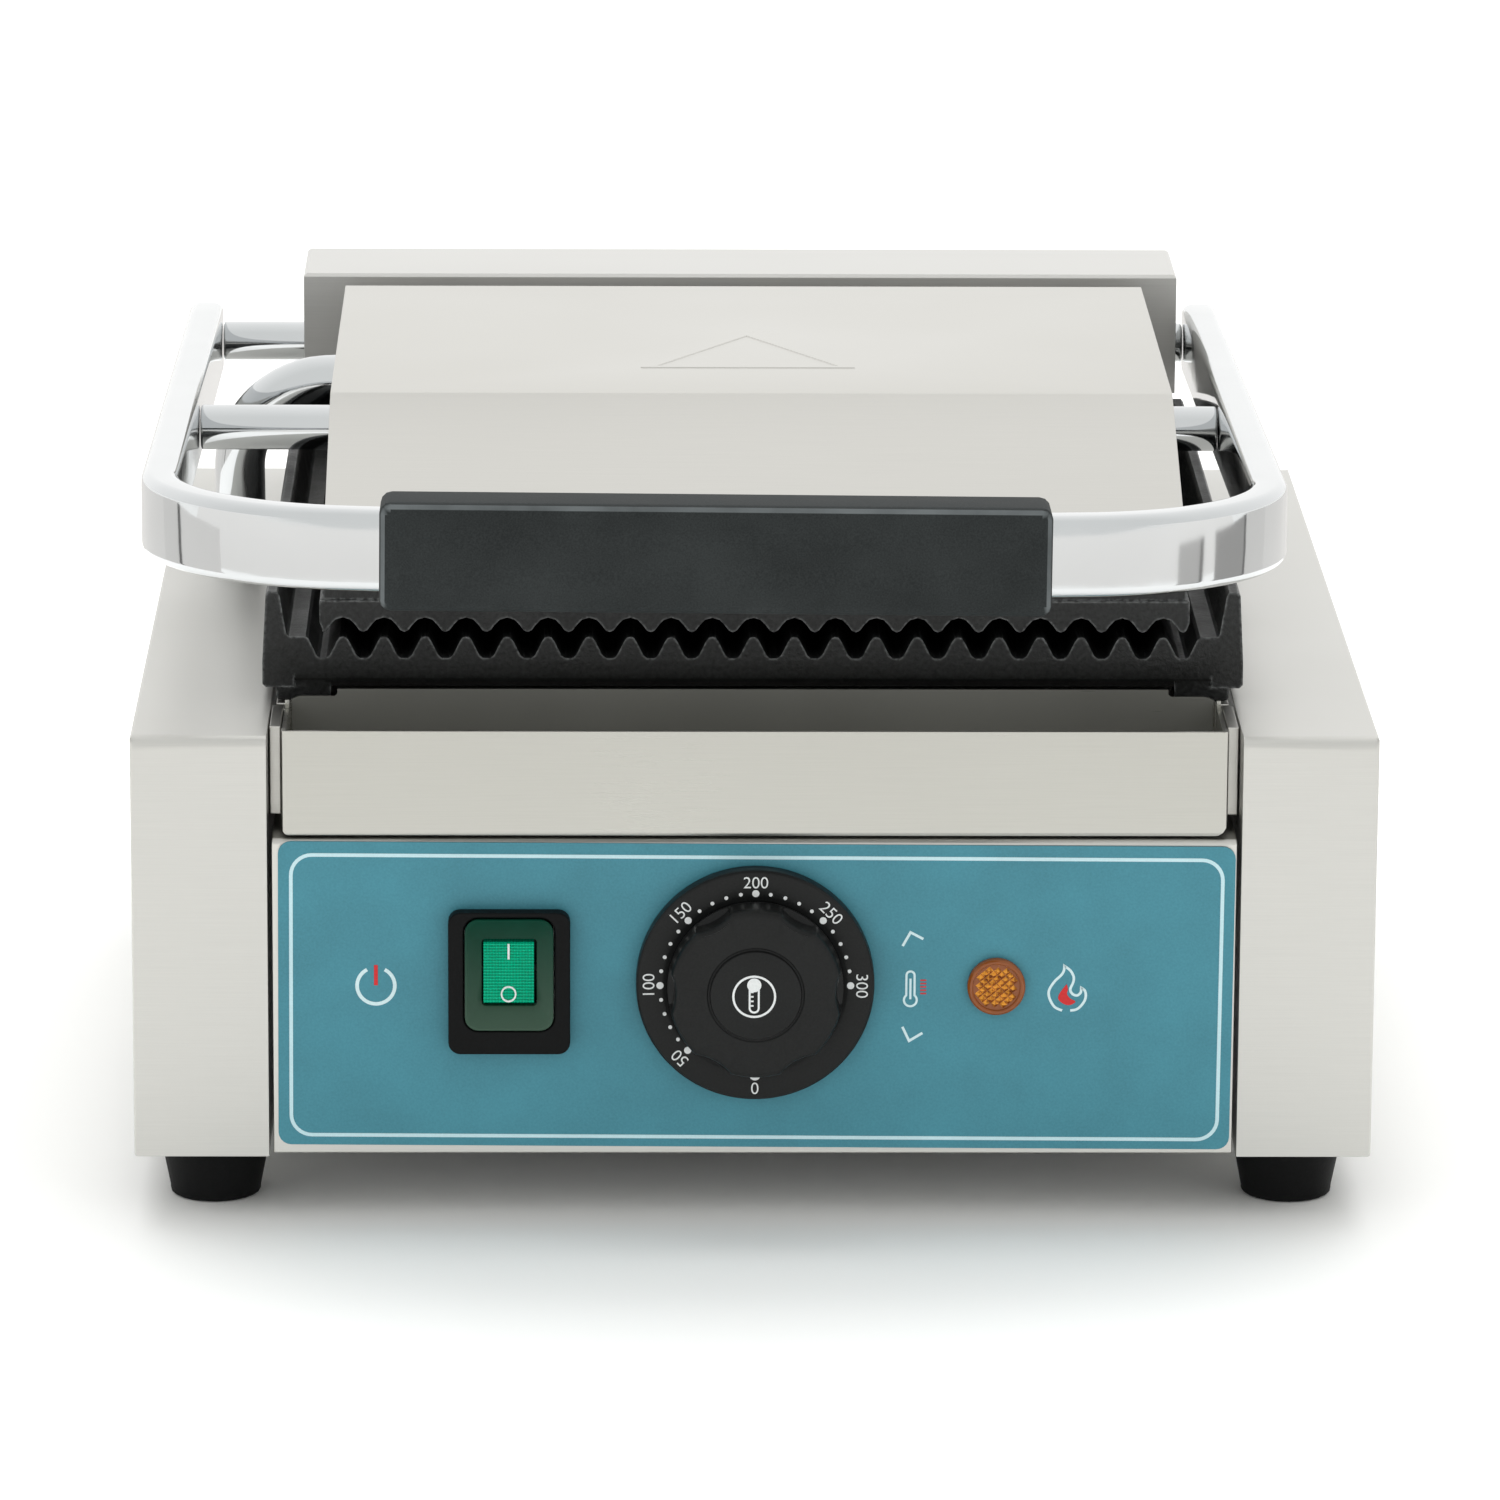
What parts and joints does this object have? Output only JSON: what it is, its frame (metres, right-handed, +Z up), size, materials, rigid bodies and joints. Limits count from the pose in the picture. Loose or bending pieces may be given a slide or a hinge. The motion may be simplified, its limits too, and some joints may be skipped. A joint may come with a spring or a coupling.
{
  "type": "panini press",
  "caption": "Countertop contact grill: ribbed cast plates, hinged lid on a U-shaped handle, drip tray and a front panel with rocker switch, dial and lamp.",
  "frame": {"origin": "on the floor below the middle of the whole object's box, lid closed", "axes": "+X to the right seen from the front, +Y from the control panel to the back, +Z up"},
  "size_m": [0.29, 0.3395, 0.1808],
  "materials": {
    "brushed_steel": "brushed stainless sheet",
    "spring_steel": "dull steel",
    "zinc_plate": "zinc plated steel",
    "chrome": "polished chrome",
    "cast_iron": "black enamelled casting",
    "black_rubber": "matt rubber",
    "black_plastic": "satin moulded plastic",
    "grip_plastic": "lightly grained plastic",
    "teal_overlay": "printed plastic sheet",
    "green_plastic": "translucent green plastic",
    "amber_lens": "translucent amber lens",
    "ceramic": "pale ceramic"
  },
  "bodies": {
    "base": {"side_housing_left": "brushed_steel", "side_housing_right": "brushed_steel", "front_fascia": "brushed_steel", "control_overlay": "teal_overlay", "top_deck": "brushed_steel", "rear_panel": "brushed_steel", "bottom_cover": "zinc_plate", "rear_screw_1": "zinc_plate", "rear_screw_2": "zinc_plate", "rear_screw_3": "zinc_plate", "rear_screw_4": "zinc_plate", "foot_front_left": "black_rubber", "foot_front_right": "black_rubber", "foot_rear_left": "black_rubber", "foot_rear_right": "black_rubber", "cable_gland": "black_plastic", "gland_locknut": "black_plastic", "terminal_block": "ceramic", "lower_plate": "cast_iron", "lower_element": "spring_steel", "lower_heat_shield": "zinc_plate", "tray_guide_left": "brushed_steel", "tray_guide_right": "brushed_steel", "hinge_tower": "brushed_steel", "hinge_bracket_left": "zinc_plate", "hinge_bracket_right": "zinc_plate", "hinge_post_left": "brushed_steel", "hinge_post_right": "brushed_steel", "torsion_spring_left": "spring_steel", "torsion_spring_right": "spring_steel", "conduit_grommet": "black_rubber", "dial_ring": "black_plastic", "thermostat_body": "ceramic", "thermostat_bulb": "zinc_plate", "switch_bezel": "black_rubber", "rocker_cover": "green_plastic", "switch_housing": "black_plastic", "pilot_lens": "amber_lens", "pilot_lamp_body": "black_plastic"},
    "handle": {"handle_bar": "chrome", "handle_grip": "grip_plastic", "hinge_shaft": "chrome", "cross_rod": "chrome", "spring_collar_left": "zinc_plate", "spring_collar_right": "zinc_plate"},
    "lid": {"lid_cover": "brushed_steel", "upper_plate": "cast_iron", "lid_bracket_left": "zinc_plate", "lid_bracket_right": "zinc_plate", "wire_conduit": "chrome", "conduit_locknut": "zinc_plate", "upper_element": "spring_steel", "upper_heat_shield": "zinc_plate"},
    "tray": {"drip_tray": "brushed_steel"},
    "knob": {"thermostat_knob": "black_plastic", "thermostat_shaft": "zinc_plate"},
    "switch": {"rocker": "green_plastic"}
  },
  "joints": [
    {"name": "handle_lift", "type": "hinge", "parent": "base", "child": "handle", "pos_m": [0, 0.14375, 0.1536], "axis": [-1, 0, 0], "range_deg": [0, 60], "stiffness_Nm_per_rad": 2.4, "springref_deg": 108.86},
    {"name": "upper_plate_tilt", "type": "hinge", "parent": "handle", "child": "lid", "pos_m": [0, 0.00775, 0.1603], "axis": [1, 0, 0], "range_deg": [-1.2, 1.2]},
    {"name": "drip_tray_slide", "type": "slide", "parent": "base", "child": "tray", "axis": [0, -1, 0], "range_m": [0, 0.03]},
    {"name": "thermostat_knob_turn", "type": "hinge", "parent": "base", "child": "knob", "pos_m": [0.0002, -0.12885, 0.0582], "axis": [0, 1, 0], "range_deg": [0, 270]},
    {"name": "switch_rock", "type": "hinge", "parent": "base", "child": "switch", "pos_m": [-0.0571, -0.12625, 0.0606], "axis": [1, 0, 0], "range_deg": [0, 10]}
  ]
}
